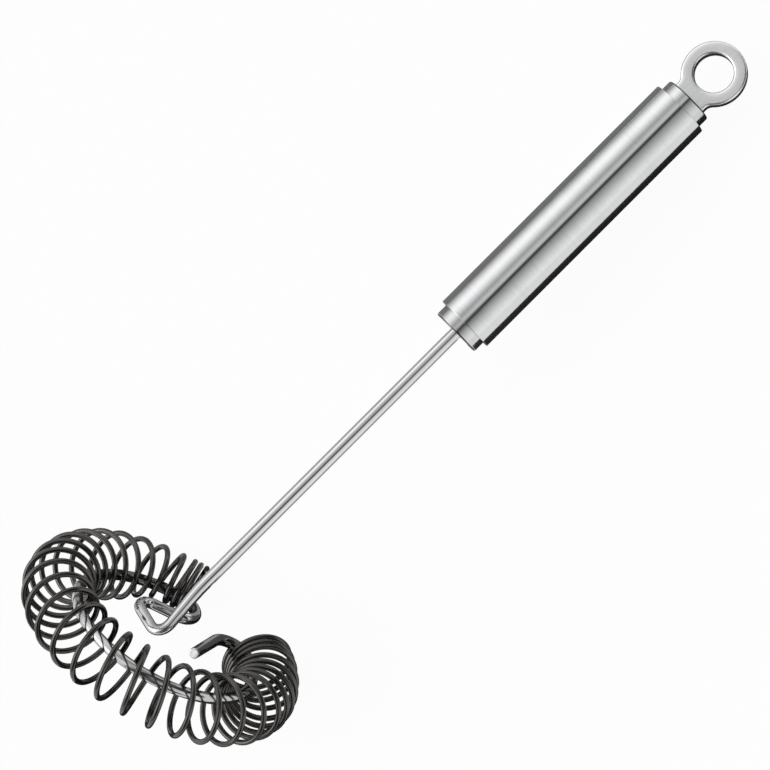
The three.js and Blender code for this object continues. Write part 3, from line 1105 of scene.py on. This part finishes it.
@dataclass(frozen=True)
class Card:
    """A card on the table that only the steel mirrors.

    Its corners are given along the tool, and across the table from the tool's axis, in millimetres. Its
    level is the share of light that it gives back.
    """

    name: str
    level: float
    corners: tuple[Pair, ...]


@dataclass
class Studio:
    """The white table, the cards, the light and the camera.

    The sky is a ring of softboxes about the tool's axis. Its two ends, past end_edge on that axis, go from
    light to dark across end_sides, and the end beyond the handle is dimmer. The slit at the camera widens
    toward the foot.
    """

    lie: Lie
    camera_place: tuple[float, float, float] = (101.72, -668.6, 1084.2)
    camera_right: tuple[float, float, float] = (0.70711, -0.60071, -0.37303)
    camera_up: tuple[float, float, float] = (0.70711, 0.60071, 0.37303)
    camera_far: float = 20.0
    lens: float = 196.36
    sensor: float = 36.0
    floor_size: float = 6.0
    floor_drop: float = 0.0006
    floor_cells: int = 8
    floor_colour: Colour = (0.9, 0.9, 0.9)
    floor_glow: float = 0.95
    ambient: float = 0.30
    boxes: tuple[Softbox, ...] = (
        Softbox(-67.0, 50.0, 1.08),
        Softbox(66.0, 70.0, 0.80),
        Softbox(-13.0, 20.0, 0.45),
    )
    slit: Softbox = Softbox(-1.0, 11.0, 0.93)
    slit_foot: Softbox = Softbox(5.0, 24.0, 0.93)
    slit_edge: Pair = (-0.02, 0.03)
    end_edge: Pair = (0.2, 0.55)
    end_sides: Pair = (-0.5, 0.5)
    end_light: float = 2.2
    end_dark: float = 0.08
    far_edge: Pair = (-0.1, 0.1)
    far_share: float = 0.35
    card_lift: float = 0.0002
    # Painted shade and reflections: black_card and shank_card stand in for the tool's shadow on the table
    # beside the handle and the shank, and coil_card gives the coil dark surroundings to mirror.
    cards: tuple[Card, ...] = (
        Card(
            "black_card",
            0.045,
            ((126, 2), (126, -42), (228, -26), (262, -24), (262, 14), (231, 14), (231, 2)),
        ),
        Card("shank_card", 0.5, ((16, 2), (16, -50), (125, -34), (125, 2))),
        Card("coil_card", 0.05, ((-90, 60), (-90, -120), (15, -120), (15, 8), (-20, 60))),
        Card("grey_card", 0.28, ((126, 15), (262, 15), (262, 2400), (126, 2400))),
        Card("pale_card", 0.6, ((0, 15), (125, 15), (125, 2400), (0, 2400))),
    )

    def view_axes(self) -> tuple[Vector, Vector, Vector]:
        """Returns the camera's right, its up and the way back to it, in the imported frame."""
        right, up = self.lie.direction(*self.camera_right), self.lie.direction(*self.camera_up)
        return right, up, right.cross(up)

    def camera(self) -> None:
        """Sets the camera where the photograph was taken from."""
        data = bpy.data.cameras.new("photo_camera")
        data.lens = self.lens
        data.sensor_width = self.sensor
        data.sensor_fit = "HORIZONTAL"
        data.clip_end = self.camera_far
        camera = bpy.data.objects.new("photo_camera", data)
        place = self.lie.matrix() @ Vector(self.camera_place)
        camera.matrix_world = Matrix.Translation(place) @ Matrix(self.view_axes()).transposed().to_4x4()
        bpy.context.scene.collection.objects.link(camera)
        bpy.context.scene.camera = camera

    def floor(self) -> None:
        """Lays the white table, which stays white to the camera and in the steel."""
        mesh = bmesh.new()
        cells = self.floor_cells
        bmesh.ops.create_grid(mesh, x_segments=cells, y_segments=cells, size=self.floor_size / 2)
        table = add_object("white_table", mesh)
        table.data.transform(Matrix.Translation((0, 0, -self.floor_drop)))
        material = bpy.data.materials.new("white_table")
        material.use_nodes = True
        bench = Bench(material.node_tree)
        bench.nodes.remove(bench.nodes["Principled BSDF"])
        rays = bench.add("ShaderNodeLightPath").outputs
        seen = rays["Is Camera Ray"]
        for label in ("Is Glossy Ray", "Is Transmission Ray"):
            seen = bench.math("MAXIMUM", seen, rays[label])
        paper = bench.add("ShaderNodeBsdfDiffuse", {"Color": (*self.floor_colour, 1.0)})
        glow = bench.add("ShaderNodeEmission", {"Color": WHITE, "Strength": 1.0})
        inputs = {0: bench.math("MULTIPLY", seen, self.floor_glow), 1: paper.outputs[0], 2: glow.outputs[0]}
        mix = bench.add("ShaderNodeMixShader", inputs)
        bench.give(bench.nodes["Material Output"].inputs["Surface"], mix.outputs[0])
        table.data.materials.append(material)

    def lay(self, plan: Card) -> None:
        """Lays a card on the table.

        Args:
            plan: the card's name, level and corners.
        """
        across = Vector((0, 0, 1)).cross(self.lie.direction(1, 0, 0)).normalized()
        mesh = bmesh.new()
        corners = []
        for place, offset in plan.corners:
            point = self.lie.matrix() @ Vector((place, 0, 0)) + across * (offset * MM)
            corners.append(mesh.verts.new((point.x, point.y, self.card_lift - self.floor_drop)))
        mesh.faces.new(corners)
        card = add_object(plan.name, mesh)
        material = bpy.data.materials.new(plan.name)
        material.use_nodes = True
        paper = material.node_tree.nodes["Principled BSDF"].inputs
        paper["Base Color"].default_value = (plan.level, plan.level, plan.level, 1.0)
        paper["Roughness"].default_value = 1.0
        paper["Specular IOR Level"].default_value = 0.0
        card.data.materials.append(material)
        card.visible_camera = card.visible_diffuse = card.visible_shadow = False

    @staticmethod
    def band_group() -> bpy.types.NodeTree:
        """Builds the group that draws one soft band of light.

        Returns:
            The group: strength at the centre angle, falling to nothing at the spread.
        """
        inputs = {"Angle": 0.0, "Centre": 0.0, "Spread": 1.0, "Strength": 1.0}
        bench, given, out = Bench.group("softbox_band", inputs, ("Light",))
        apart = bench.math("ABSOLUTE", bench.math("SUBTRACT", given["Angle"], given["Centre"]))
        bench.give(out["Light"], bench.ranged(apart, (0.0, given["Spread"]), (given["Strength"], 0.0)))
        return bench.tree

    def light(self) -> None:
        """Sets the world: softboxes beside the tool, a dark slit at the camera, and a white background."""
        world = bpy.data.worlds.new("studio")
        bpy.context.scene.world = world
        world.use_nodes = True
        bench = Bench(world.node_tree)
        band = self.band_group()
        look = bench.add("ShaderNodeTexCoord").outputs["Generated"]
        toward = self.view_axes()[2]
        axis = self.lie.direction(1, 0, 0)

        def along(way: Vector) -> Socket:
            """Adds the part of the looking direction along a way and returns it."""
            inputs = {0: look, 1: way}
            return bench.add("ShaderNodeVectorMath", inputs, operation="DOT_PRODUCT").outputs["Value"]

        ahead, aside = along(axis), along(axis.cross(toward).normalized())
        angle = bench.math("ARCTAN2", aside, along(toward))

        def shine(centre: Socket | float, spread: Socket | float, strength: float) -> Socket:
            """Adds one band and returns its light."""
            inputs = {"Angle": angle, "Centre": centre, "Spread": spread, "Strength": strength}
            return bench.add("ShaderNodeGroup", inputs, node_tree=band).outputs["Light"]

        light: Socket | float = self.ambient
        for box in self.boxes:
            light = bench.math("ADD", shine(*box.band(), box.strength), light)
        changes = zip(self.slit_foot.band(), self.slit.band())
        slit = [bench.ranged(ahead, self.slit_edge, change) for change in changes]
        light = bench.math("MULTIPLY", light, bench.math("SUBTRACT", 1.0, shine(*slit, self.slit.strength)))
        ends = bench.ranged(bench.math("ABSOLUTE", ahead), self.end_edge)
        side = bench.ranged(aside, self.end_sides, (self.end_light, self.end_dark))
        far = bench.ranged(ahead, self.far_edge, (1.0, self.far_share))
        sides = bench.math("MULTIPLY", side, far)
        light = bench.math("MULTIPLY", light, bench.mix("FLOAT", ends, 1.0, sides))
        camera_ray = bench.add("ShaderNodeLightPath").outputs["Is Camera Ray"]
        background = bench.nodes["Background"].inputs
        background["Color"].default_value = WHITE
        bench.give(background["Strength"], bench.mix("FLOAT", camera_ray, light, 1.0))

    def build(self) -> None:
        """Sets up the camera, the table with its cards, and the light."""
        self.camera()
        self.floor()
        for card in self.cards:
            self.lay(card)
        self.light()
        bpy.context.scene.view_settings.view_transform = "Standard"


def main() -> None:
    """Builds the pieces in order, then the studio."""
    logging.basicConfig(level=logging.INFO, format="%(name)s: %(message)s")
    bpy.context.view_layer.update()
    lie = Lie()
    shop = Workshop(lie, Finishes(lie))
    hoop = Hoop()
    Handle().build(shop)
    Wire(hoop).build(shop)
    Coil(hoop).build(shop)
    Studio(lie).build()


if __name__ == "__main__":
    main()
